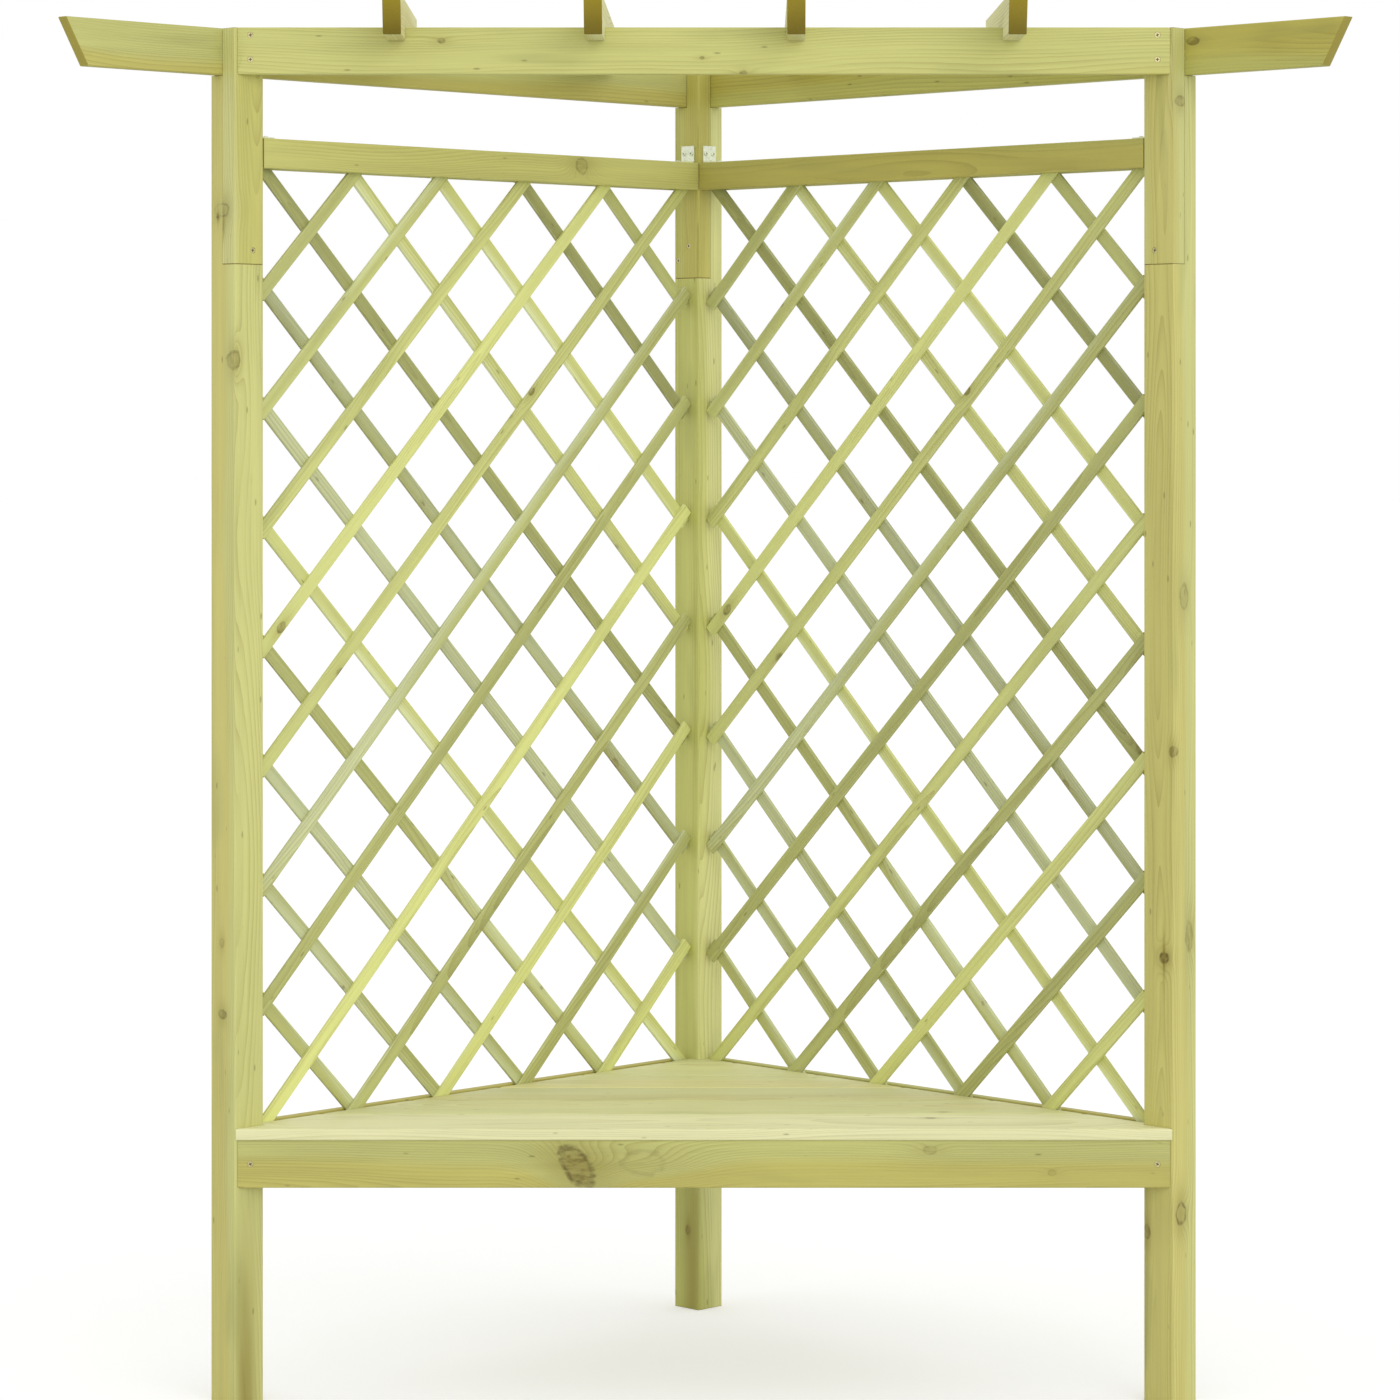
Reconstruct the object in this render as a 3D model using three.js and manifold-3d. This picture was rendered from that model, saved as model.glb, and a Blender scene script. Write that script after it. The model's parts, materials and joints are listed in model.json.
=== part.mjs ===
// A corner arbour seat: three posts at the corners of a right-angled triangle, a trellis wall on
// each short side, a bench across the corner, and short rafters over the long open front.
// Millimetres. +X right, +Y from the open front to the corner post, +Z up. The origin is the middle
// of the corner post's foot.

import * as THREE from "three";
import { mergeVertices } from "three/addons/utils/BufferGeometryUtils.js";
import Module from "manifold-3d";

const wasm = await Module();
wasm.setup();

// Clearances
const fit = 0.3; // gap left between the sides of neighbouring pieces
const overrun = 5; // how far a cutter runs past what it cuts
const weldDistance = 0.0001; // points closer than this are one point

// Posts, each made of a lower and an upper length joined by a half-lap
const postSide = 54;
const wallGap = 894; // clear width of a wall between its two posts
const topHeight = 1971; // top of the posts and of the beams on them
const lapLength = 271; // height of the half-lap, from its shoulder to the underside of the beams
const lapInnerShare = 0.5; // share of the post that the upper length takes at the lap

// Beams on the posts
const beamHeight = 67;
const beamThickness = 19;
const armLength = 280; // how far a side beam runs out past its front post
const armBevel = 39; // how far the arm's end leans
const frontSetback = 3; // from the front posts' near corners to the face of the front beam

// Rafters, notched over the front beam and the side beams
const rafterPlaceShares = [-0.328, -0.115, 0.098, 0.328]; // on the front beam, of the front's width
const rafterSkewDegrees = [0, 1.4, 1.4, 0]; // the two middle ones don't stand quite square to the front
const rafterWidth = 26;
const rafterHeight = 57;
const rafterNotch = 19;
const rafterOverhang = 120; // from the front posts' near corners to the tip of a rafter
const rafterBevel = 20; // how far a rafter's front end leans
const rafterTail = 6; // left behind the notch over a side beam, at its shorter side

// Trellis walls: laths held between an inner and an outer rail, top and bottom
const railHeight = 43;
const innerRailThickness = 16;
const outerRailThickness = 16;
const topRailDrop = 156; // from the posts' tops to the top edge of the top rails
const lathWidth = 20;
const lathThickness = 6;
const lathBite = 0.2; // how far crossing laths press into each other where they are nailed
const lathColumns = 5; // meshes across a wall
const lathRows = 8; // meshes up a wall
const lathInset = 19; // from a post's face to the nearest crossing of the laths
const lathEndMargin = 3; // from a lath's end to the far edge of the rails

// Seat
const seatHeight = 397;
const seatBoardThickness = 17;
const frontBoardWidth = 133;
const seatBoardWidth = 121;
const seatBoardGap = 4;
const smallestBoard = 20; // a narrower board than this is left out at the corner
const apronHeight = 68;
const apronThickness = 19;
const bearerWidth = 43;

// Angle brackets, bent from sheet steel
const bracketLeg = 27;
const bracketWidth = 28;
const bracketThickness = 2;
const bracketBend = 3; // outer radius of the bend
const bracketHole = 4.5;
const bracketHolePitch = 16;

// Countersunk screws
const screwShank = 4.5;
const screwHead = 8.5;
const screwHeadHeight = 3;
const screwTip = 6;
const screwSink = 0.6; // how far the head lies below the timber's face
const screwCover = 6; // timber left between a screw's tip and the far face
const screwSides = 12;
const rafterScrewLength = 60;
const frontScrewInset = 22; // from the front post's near corner, across the front
const frontBeamScrewDrops = [11, 46]; // below the top of the front beam
const lapScrewRise = 20; // above the shoulder of a front post's lap
const lapScrewAcross = 34; // from the near edge of a front post
const backLapScrews = [
  { across: 23, rise: 51 },
  { across: 46, rise: 28 },
];
const beamScrewStagger = 12; // the screws of the two side beams pass each other in the corner post

// Worked out from the sizes above
const lapInner = postSide * lapInnerShare;
const wallLeg = wallGap + postSide; // near corner of a front post to near corner of the corner post
const halfFront = wallLeg / Math.SQRT2;
const beamBottom = topHeight - beamHeight;
const shoulderHeight = beamBottom - lapLength;
const beamInner = lapInner + fit;
const beamOuter = beamInner + beamThickness;
const topRailHeight = topHeight - topRailDrop;
const seatUnderside = seatHeight - seatBoardThickness;
const bottomRailLow = seatUnderside - railHeight;
const lathInner = innerRailThickness + fit;
const lathMiddle = lathInner + lathThickness;
const lathOuter = lathMiddle + lathThickness - lathBite;
const outerRailInner = lathOuter + fit;
const outerRailOuter = outerRailInner + outerRailThickness;
const panelMiddle = outerRailOuter / 2;

// Materials
const timber = (color, roughness) => new THREE.MeshStandardMaterial({ color, roughness, metalness: 0 });
const postTimber = timber(0xc2bb77, 0.8);
const beamTimber = timber(0xbeba71, 0.8);
const rafterTimber = timber(0xb8ae6a, 0.8);
const lathTimber = timber(0xb9b872, 0.8);
const seatTimber = timber(0xd8d7a3, 0.75);
const galvanised = new THREE.MeshStandardMaterial({ color: 0xcfd2cc, roughness: 0.45, metalness: 0.85 });
const plated = new THREE.MeshStandardMaterial({ color: 0xc8b878, roughness: 0.4, metalness: 0.85 });

// Geometry helpers
function toSolid(geometry) {
  const bare = geometry.index ? geometry.toNonIndexed() : geometry.clone();
  bare.deleteAttribute("normal");
  bare.deleteAttribute("uv");
  const merged = mergeVertices(bare, weldDistance);
  const corners = merged.index.array;
  const triVerts = [];
  for (let i = 0; i < corners.length; i += 3) {
    const [a, b, c] = corners.slice(i, i + 3);
    if (a !== b && b !== c && c !== a) triVerts.push(a, b, c);
  }
  return new wasm.Manifold(
    new wasm.Mesh({
      numProp: 3,
      vertProperties: merged.attributes.position.array,
      triVerts: new Uint32Array(triVerts),
    }),
  );
}

function toGeometry(solid) {
  const mesh = solid.getMesh();
  const geometry = new THREE.BufferGeometry();
  geometry.setAttribute("position", new THREE.BufferAttribute(mesh.vertProperties, 3));
  geometry.setIndex(new THREE.BufferAttribute(mesh.triVerts, 1));
  const flat = geometry.toNonIndexed();
  flat.computeVertexNormals();
  return flat;
}

// A prism from an outline. Along x the outline's points are (y, z), along y (x, z), along z (x, y).
function prism(along, outline, low, high) {
  const shape = new THREE.Shape(outline.map(([a, b]) => new THREE.Vector2(a, b)));
  const geometry = new THREE.ExtrudeGeometry(shape, { depth: high - low, bevelEnabled: false });
  const x = new THREE.Vector3(1, 0, 0);
  const y = new THREE.Vector3(0, 1, 0);
  const z = new THREE.Vector3(0, 0, 1);
  if (along === "x") geometry.applyMatrix4(new THREE.Matrix4().makeBasis(y, z, x)).translate(low, 0, 0);
  if (along === "y") {
    geometry.applyMatrix4(new THREE.Matrix4().makeBasis(x, z, y.negate())).translate(0, high, 0);
  }
  if (along === "z") geometry.translate(0, 0, low);
  return geometry;
}

function block([x0, x1], [y0, y1], [z0, z1]) {
  const geometry = new THREE.BoxGeometry(x1 - x0, y1 - y0, z1 - z0);
  return geometry.translate((x0 + x1) / 2, (y0 + y1) / 2, (z0 + z1) / 2);
}

const pieces = {};
function addPiece(parent, name, geometry, material) {
  const mesh = new THREE.Mesh(geometry, material);
  mesh.name = name;
  parent.add(mesh);
  pieces[name] = mesh;
  return mesh;
}

// Groups. The floor plan's own frame has its origin midway between the front posts' near corners.
// A wall's x runs along its inner face and its y points out of the arbour.
const arbour = new THREE.Group();
const plan = new THREE.Group();
plan.position.y = -(halfFront + postSide / Math.SQRT2);
arbour.add(plan);

const leftWall = new THREE.Group();
leftWall.position.x = -halfFront;
leftWall.rotation.z = Math.PI / 4;
const rightWall = new THREE.Group();
rightWall.position.y = halfFront;
rightWall.rotation.z = -Math.PI / 4;
plan.add(leftWall, rightWall);

// The right wall is drawn from the corner post to the front post, so lengths are counted back on it.
const walls = [
  { side: "left", group: leftWall, from: (length) => length, panelStart: postSide },
  { side: "right", group: rightWall, from: (length) => wallLeg - length, panelStart: 0 },
];

// A point of the floor plan, from its distances along and out of the left wall's inner face.
const planPoint = (along, out) => [(along - out) / Math.SQRT2 - halfFront, (along + out) / Math.SQRT2];
const mirrored = ([x, y]) => [-x, y];

// Front posts: the lower length's tongue is outside, and a side beam rests on it
for (const { side, group, from } of walls) {
  const [low, high] = [from(0), from(postSide)].sort((a, b) => a - b);
  const lower = [
    [0, 0],
    [postSide, 0],
    [postSide, beamBottom],
    [lapInner + fit / 2, beamBottom],
    [lapInner + fit / 2, shoulderHeight],
    [0, shoulderHeight],
  ];
  addPiece(group, `post_front_${side}_lower`, prism("x", lower, low, high), postTimber);
  const upper = block([low, high], [0, lapInner - fit / 2], [shoulderHeight, topHeight]);
  addPiece(group, `post_front_${side}_upper`, upper, postTimber);
}

// Corner post: its lap faces the left wall, and its top is cut away for both side beams
const backLower = [
  [wallLeg, 0],
  [wallLeg + postSide, 0],
  [wallLeg + postSide, beamBottom],
  [wallLeg + lapInner + fit / 2, beamBottom],
  [wallLeg + lapInner + fit / 2, shoulderHeight],
  [wallLeg, shoulderHeight],
];
const backUpper = [
  [0, shoulderHeight],
  [postSide, shoulderHeight],
  [postSide, beamBottom],
  [lapInner - fit / 2, beamBottom],
  [lapInner - fit / 2, topHeight],
  [0, topHeight],
];
addPiece(leftWall, "post_back_lower", prism("y", backLower, 0, postSide), postTimber);
const backUpperEnd = wallLeg + lapInner - fit / 2;
addPiece(leftWall, "post_back_upper", prism("x", backUpper, wallLeg, backUpperEnd), postTimber);

// Side beams: a bevelled arm in front, and a mitre where the two meet over the corner post
for (const { side, group, from } of walls) {
  const elevation = [
    [from(-armLength), topHeight],
    [from(armBevel - armLength), beamBottom],
    [from(wallLeg + postSide), beamBottom],
    [from(wallLeg + postSide), topHeight],
  ];
  const mitred = [
    [from(-armLength), beamInner],
    [from(wallLeg + beamInner - fit), beamInner],
    [from(wallLeg + beamOuter - fit), beamOuter],
    [from(-armLength), beamOuter],
  ];
  const beam = toSolid(prism("y", elevation, beamInner, beamOuter));
  const ends = toSolid(prism("z", mitred, beamBottom - overrun, topHeight + overrun));
  addPiece(group, `side_beam_${side}`, toGeometry(beam.intersect(ends)), beamTimber);
}

// Front beam and seat apron, both mitred onto the inner faces of the front posts
function acrossFront(thickness, low, high) {
  const front = halfFront - frontSetback - fit * Math.SQRT2;
  const outline = [
    [-front, frontSetback],
    [front, frontSetback],
    [front - thickness, frontSetback + thickness],
    [thickness - front, frontSetback + thickness],
  ];
  return prism("z", outline, low, high);
}
addPiece(plan, "front_beam", acrossFront(beamThickness, beamBottom, topHeight), beamTimber);
const apron = acrossFront(apronThickness, seatUnderside - apronHeight, seatUnderside);
addPiece(plan, "seat_apron", apron, beamTimber);

// Rafters. The slots are the room that the beams take in them.
const rafterUnderside = topHeight - rafterNotch;
const rafterTop = rafterUnderside + rafterHeight;
const frontBeamMiddle = frontSetback + beamThickness / 2;
const slotLevels = [rafterUnderside - overrun, topHeight];
const slotDepth = [frontSetback - fit, frontSetback + beamThickness + fit];
const slots = [block([-halfFront, halfFront], slotDepth, slotLevels)];
for (const { group } of walls) {
  group.updateMatrix();
  const room = block([-postSide, wallLeg + postSide], [beamInner - fit, beamOuter + fit], slotLevels);
  slots.push(room.applyMatrix4(group.matrix));
}
const rafters = rafterPlaceShares.map((share, i) => ({
  name: `rafter_${i + 1}`,
  middle: share * 2 * halfFront,
  skew: THREE.MathUtils.degToRad(rafterSkewDegrees[i]),
}));
for (const { name, middle, skew } of rafters) {
  const lean = Math.tan(skew) * Math.sign(-middle); // towards the wall that the rafter rests on
  const toOuterFace = halfFront - Math.abs(middle) - frontBeamMiddle + (beamOuter + fit) * Math.SQRT2;
  const rear = toOuterFace / (1 - lean) + rafterWidth / 2 + rafterTail;
  const outline = [
    [-rafterOverhang - frontBeamMiddle, rafterTop],
    [rafterBevel - rafterOverhang - frontBeamMiddle, rafterUnderside],
    [rear, rafterUnderside],
    [rear, rafterTop],
  ];
  const timberLength = prism("x", outline, -rafterWidth / 2, rafterWidth / 2);
  timberLength.rotateZ(-skew).translate(middle, frontBeamMiddle, 0);
  const notched = slots.reduce((rafter, slot) => rafter.subtract(toSolid(slot)), toSolid(timberLength));
  addPiece(plan, name, toGeometry(notched), rafterTimber);
}

// Trellis laths: one layer rises to the right, seen from the seat, and the layer behind it falls.
// Their ends are cut square, and only a corner of each comes up to the post.
const lowCrossing = seatHeight;
const lathPitchUp = (topRailHeight - railHeight - lowCrossing) / lathRows;
const lathPitchAcross = (wallGap - 2 * lathInset) / lathColumns;
const lathSlope = Math.atan2(lathPitchUp, lathPitchAcross);
const lathReach = (wallGap - 2 * fit - lathWidth * Math.sin(lathSlope)) / Math.cos(lathSlope);

function lathLayer(rising, inner, outer) {
  const laths = [];
  for (let i = 1 - lathColumns; i < lathRows; i++) {
    const atLeft = rising ? i : lathRows - i; // the crossing that this lath meets at the left
    const middleUp = lowCrossing + lathPitchUp * (atLeft + ((rising ? 1 : -1) * lathColumns) / 2);
    const lath = new THREE.BoxGeometry(lathReach, outer - inner, lathWidth);
    lath.rotateY(rising ? -lathSlope : lathSlope);
    lath.translate(wallGap / 2, (inner + outer) / 2, middleUp);
    laths.push(toSolid(lath));
  }
  return laths;
}

function lattice() {
  const layers = [
    ...lathLayer(true, lathInner, lathMiddle),
    ...lathLayer(false, lathMiddle - lathBite, lathOuter),
  ];
  const nailed = layers.reduce((all, lath) => all.add(lath));
  const trim = block(
    [0, wallGap],
    [lathInner - overrun, lathOuter + overrun],
    [bottomRailLow + lathEndMargin, topRailHeight - lathEndMargin],
  );
  return toGeometry(nailed.intersect(toSolid(trim)));
}

// An angle bracket, its corner at the origin, one leg along x and the other up z
function bracket() {
  const outline = new THREE.Shape();
  outline.moveTo(bracketBend, 0);
  outline.lineTo(bracketLeg, 0);
  outline.lineTo(bracketLeg, bracketThickness);
  outline.lineTo(bracketBend, bracketThickness);
  outline.absarc(bracketBend, bracketBend, bracketBend - bracketThickness, -Math.PI / 2, -Math.PI, true);
  outline.lineTo(bracketThickness, bracketLeg);
  outline.lineTo(0, bracketLeg);
  outline.lineTo(0, bracketBend);
  outline.absarc(bracketBend, bracketBend, bracketBend, -Math.PI, -Math.PI / 2, false);
  const bend = { depth: bracketWidth, bevelEnabled: false, curveSegments: 3 };
  const geometry = new THREE.ExtrudeGeometry(outline, bend);
  geometry.rotateX(Math.PI / 2).translate(0, bracketWidth / 2, 0);
  let plate = toSolid(geometry);
  const along = (bracketBend + bracketLeg) / 2;
  const drill = bracketThickness + 2 * overrun;
  for (const across of [-bracketHolePitch / 2, bracketHolePitch / 2]) {
    const hole = new THREE.CylinderGeometry(bracketHole / 2, bracketHole / 2, drill, screwSides);
    const down = hole.clone().rotateX(Math.PI / 2).translate(along, across, 0);
    const through = hole.rotateZ(Math.PI / 2).translate(0, across, along);
    plate = plate.subtract(toSolid(down)).subtract(toSolid(through));
  }
  return toGeometry(plate);
}

const latticeGeometry = lattice();
const bracketGeometry = bracket();

for (const { side, group, panelStart } of walls) {
  const panel = new THREE.Group();
  panel.position.x = panelStart;
  group.add(panel);
  const length = [fit, wallGap - fit];
  const inner = [0, innerRailThickness];
  const outer = [outerRailInner, outerRailOuter];
  const top = [topRailHeight - railHeight, topRailHeight];
  addPiece(panel, `top_rail_inner_${side}`, block(length, inner, top), beamTimber);
  addPiece(panel, `top_rail_outer_${side}`, block(length, outer, top), beamTimber);
  const carrier = block(length, inner, [bottomRailLow, seatUnderside]);
  addPiece(panel, `bottom_rail_inner_${side}`, carrier, beamTimber);
  const backing = block(length, outer, [bottomRailLow, seatHeight]);
  addPiece(panel, `bottom_rail_outer_${side}`, backing, beamTimber);
  addPiece(panel, `trellis_${side}`, latticeGeometry, lathTimber);

  const corners = [
    { end: "first", x: fit, low: 0, high: Math.PI },
    { end: "last", x: wallGap - fit, low: Math.PI, high: Math.PI },
  ];
  for (const { end, x } of corners) {
    const turned = end === "last" ? Math.PI : 0;
    const upper = addPiece(panel, `top_bracket_${side}_${end}`, bracketGeometry, galvanised);
    upper.position.set(x, panelMiddle, topRailHeight);
    upper.rotation.z = turned;
    const lower = addPiece(panel, `bottom_bracket_${side}_${end}`, bracketGeometry, galvanised);
    lower.position.set(x, panelMiddle, bottomRailLow);
    lower.rotation.set(Math.PI, 0, turned);
  }
}

// Seat boards, cut from the seat's outline in strips that run across the front
const leftEdge = [
  planPoint(fit, -fit),
  planPoint(postSide + fit, -fit),
  planPoint(postSide + fit, innerRailThickness),
  planPoint(wallLeg - fit, innerRailThickness),
];
const cornerNotch = planPoint(wallLeg - fit, -fit);
const seatOutline = [...leftEdge, cornerNotch, ...leftEdge.map(mirrored).reverse()];
const seat = toSolid(prism("z", seatOutline, seatUnderside, seatHeight));
const boardLevels = [seatUnderside - overrun, seatHeight + overrun];
let boardFront = 0;
for (let i = 1; boardFront < halfFront - smallestBoard; i++) {
  const width = i === 1 ? frontBoardWidth : seatBoardWidth;
  const next = boardFront + width + seatBoardGap;
  const last = next > halfFront - smallestBoard;
  const span = [-halfFront, halfFront];
  const strip = block(span, [boardFront, last ? halfFront + postSide : boardFront + width], boardLevels);
  addPiece(plan, `seat_board_${i}`, toGeometry(seat.intersect(toSolid(strip))), seatTimber);
  boardFront = next;
}

// Middle bearer under the boards, from the apron into the corner between the bottom rails
const apronBack = frontSetback + apronThickness;
const bearerEnd = halfFront - bearerWidth / 2 - fit * Math.SQRT2;
const bearer = block(
  [-bearerWidth / 2, bearerWidth / 2],
  [apronBack, bearerEnd],
  [bottomRailLow, seatUnderside],
);
addPiece(plan, "seat_bearer", bearer, beamTimber);
const bearerBracket = addPiece(plan, "bearer_bracket", bracketGeometry, galvanised);
bearerBracket.position.set(bearerWidth / 2, apronBack, (bottomRailLow + seatUnderside) / 2);
bearerBracket.rotation.x = -Math.PI / 2;

// Screws. The profile runs from the tip on the axis to the middle of the head.
function screwProfile(length, grow, rise) {
  const shank = screwShank / 2 + grow;
  const head = screwHead / 2 + grow;
  const points = [
    [0, -length - grow],
    [shank, screwTip - length],
    [shank, -screwHeadHeight],
    [head, 0],
  ];
  if (rise > 0) points.push([head, rise]);
  points.push([0, rise]);
  return new THREE.LatheGeometry(
    points.map(([radius, height]) => new THREE.Vector2(radius, height)),
    screwSides,
  );
}

const up = new THREE.Vector3(0, 1, 0);
function addScrew(parent, name, place, outward, length, through) {
  const mesh = addPiece(parent, name, screwProfile(length, 0, 0), plated);
  const away = new THREE.Vector3(...outward);
  mesh.position.set(...place).addScaledVector(away, -screwSink);
  mesh.quaternion.setFromUnitVectors(up, away);
  arbour.updateMatrixWorld(true);
  const hole = screwProfile(length, fit, overrun);
  for (const pieceName of through) {
    const piece = pieces[pieceName];
    const toPiece = piece.matrixWorld.clone().invert().multiply(mesh.matrixWorld);
    const cutter = toSolid(hole.clone().applyMatrix4(toPiece));
    piece.geometry = toGeometry(toSolid(piece.geometry).subtract(cutter));
  }
}

// Front beam and apron to the front posts
const frontScrewX = halfFront - frontScrewInset;
const intoFrontPost = postSide * Math.SQRT2 - frontScrewInset - frontSetback - screwCover;
const apronScrewHeight = seatUnderside - apronHeight / 2;
for (const { side } of walls) {
  const x = side === "left" ? -frontScrewX : frontScrewX;
  frontBeamScrewDrops.forEach((drop, i) => {
    const place = [x, frontSetback, topHeight - drop];
    const held = ["front_beam", `post_front_${side}_upper`];
    addScrew(plan, `front_beam_screw_${side}_${i + 1}`, place, [0, -1, 0], intoFrontPost, held);
  });
  const place = [x, frontSetback, apronScrewHeight];
  const held = ["seat_apron", `post_front_${side}_lower`];
  addScrew(plan, `apron_screw_${side}`, place, [0, -1, 0], intoFrontPost, held);
}

// Laps of the posts
const lapScrewLength = postSide - screwCover;
for (const { side, group, from } of walls) {
  const place = [from(lapScrewAcross), 0, shoulderHeight + lapScrewRise];
  const held = [`post_front_${side}_upper`, `post_front_${side}_lower`];
  addScrew(group, `lap_screw_front_${side}`, place, [0, -1, 0], lapScrewLength, held);
}
backLapScrews.forEach(({ across, rise }, i) => {
  const place = [wallLeg, across, shoulderHeight + rise];
  const held = ["post_back_upper", "post_back_lower"];
  addScrew(leftWall, `lap_screw_back_${i + 1}`, place, [-1, 0, 0], lapScrewLength, held);
});

// Side beams to the posts, driven from outside
const beamScrewLength = beamThickness + lapInner - screwCover;
for (const { side, group, from } of walls) {
  const stagger = side === "left" ? -beamScrewStagger : beamScrewStagger;
  const height = topHeight - beamHeight / 2 + stagger;
  const ends = [
    { post: `front_${side}`, x: from(postSide / 2) },
    { post: "back", x: from(wallLeg + lapInner / 2) },
  ];
  for (const { post, x } of ends) {
    const held = [`side_beam_${side}`, `post_${post}_upper`];
    const name = `side_beam_screw_${side}_${post === "back" ? "back" : "front"}`;
    addScrew(group, name, [x, beamOuter, height], [0, 1, 0], beamScrewLength, held);
  }
}

// Rafters to the front beam
rafters.forEach(({ name, middle }, i) => {
  const place = [middle, frontBeamMiddle, rafterTop];
  addScrew(plan, `rafter_screw_${i + 1}`, place, [0, 0, 1], rafterScrewLength, [name, "front_beam"]);
});

export default arbour;
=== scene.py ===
# %% [markdown]
# # A corner arbour seat
# The object is a garden seat for a corner: three posts, a trellis wall on each short side, a
# triangular bench, and short rafters over the open front. It is screwed together from planed
# softwood that was pressure-treated, which leaves it a pale, uneven green.
#
# The CAD model gives every place and size. This lesson keeps them and adds what the solids leave
# out: rounded arrises, grain that runs through each board, knots, nails and screw heads.

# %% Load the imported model
import json
import math
import random

import bmesh
import bpy
import numpy as np
from mathutils import Matrix, Vector


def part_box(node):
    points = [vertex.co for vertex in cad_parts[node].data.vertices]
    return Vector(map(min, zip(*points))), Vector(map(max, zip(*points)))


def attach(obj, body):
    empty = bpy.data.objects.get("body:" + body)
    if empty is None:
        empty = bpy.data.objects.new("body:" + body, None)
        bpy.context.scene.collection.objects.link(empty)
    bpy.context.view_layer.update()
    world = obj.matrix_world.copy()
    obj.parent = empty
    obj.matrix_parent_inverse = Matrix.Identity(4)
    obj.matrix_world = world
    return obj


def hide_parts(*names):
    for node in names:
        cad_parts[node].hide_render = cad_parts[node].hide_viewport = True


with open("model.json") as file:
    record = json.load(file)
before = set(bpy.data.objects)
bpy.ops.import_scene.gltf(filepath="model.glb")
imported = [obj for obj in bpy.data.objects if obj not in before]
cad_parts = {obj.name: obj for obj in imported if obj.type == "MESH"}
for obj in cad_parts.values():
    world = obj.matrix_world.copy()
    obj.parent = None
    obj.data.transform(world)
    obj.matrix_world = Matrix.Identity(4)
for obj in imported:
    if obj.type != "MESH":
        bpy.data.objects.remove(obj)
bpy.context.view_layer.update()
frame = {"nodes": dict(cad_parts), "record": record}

nodes = frame["nodes"]
slots = {part["node"]: part["material_slot"] for part in frame["record"]["subparts"]}
scene = bpy.context.scene


def new_mesh(name, points, faces=()):
    mesh = bpy.data.meshes.new(name)
    mesh.from_pydata(points, [], faces)
    return mesh


def add_object(name, data):
    """A new object in the scene."""
    added = bpy.data.objects.new(name, data)
    scene.collection.objects.link(added)
    return added


# %% [markdown]
# ## Camera
# The photograph was taken with a long lens from about six metres, the camera held level. Its
# picture was then cropped low, so the vanishing point isn't in the middle: the lens is shifted
# instead of tilted, which keeps the posts upright.

# %% Set the camera
PHOTO_PIXELS = 1400
FOCAL_PIXELS = 4394
VANISHING_PIXEL = (650, 410)
SENSOR_WIDTH = 36.0
LONGEST_VIEW = 200
EYE = Vector((-0.077, -6.9855, 1.424))

camera = add_object("photo_camera", bpy.data.cameras.new("photo_camera"))
camera.data.sensor_width = SENSOR_WIDTH
camera.data.lens = SENSOR_WIDTH * FOCAL_PIXELS / PHOTO_PIXELS
camera.data.shift_x = 0.5 - VANISHING_PIXEL[0] / PHOTO_PIXELS
camera.data.shift_y = VANISHING_PIXEL[1] / PHOTO_PIXELS - 0.5
camera.data.clip_end = LONGEST_VIEW
camera.location = EYE
camera.rotation_euler = (math.radians(90), 0, 0)
scene.camera = camera


def sight_line(pixel):
    """The direction from the camera through a pixel of the photograph."""
    across = (pixel[0] - VANISHING_PIXEL[0]) / FOCAL_PIXELS
    up = (VANISHING_PIXEL[1] - pixel[1]) / FOCAL_PIXELS
    return Vector((across, 1, up)).normalized()


print("lens:", round(camera.data.lens, 1), "mm")

# %% [markdown]
# ## Node sums in plain Python
# A material is a net of nodes, and sums made of nodes are hard to read. A small class wraps a
# socket, so that `1 - mask` adds the Math node that it stands for. Every other node comes from one
# method, which sets the node's own choices first and then its sockets.


# %% Wrap sockets and nodes
def sum_by(operation):
    """A method that adds the Math node for this operation."""
    return lambda first, second: first.math(operation, first, second)


class Wire:
    """An output socket that can be used in sums."""

    def __init__(self, net, socket):
        self.net = net
        self.socket = socket

    def math(self, operation, *values):
        return self.net.add("ShaderNodeMath", {"operation": operation}, values)

    def __rsub__(self, other):
        return self.math("SUBTRACT", other, self)

    __add__ = __radd__ = sum_by("ADD")
    __sub__ = sum_by("SUBTRACT")
    __mul__ = __rmul__ = sum_by("MULTIPLY")
    __truediv__ = sum_by("DIVIDE")
    __pow__ = sum_by("POWER")

    def output(self, name):
        """Another output of the same node."""
        return Wire(self.net, self.socket.node.outputs[name])

    def parts(self):
        """The three numbers of a vector."""
        split = self.net.add("ShaderNodeSeparateXYZ", {}, [self])
        return split, split.output("Y"), split.output("Z")


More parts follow.
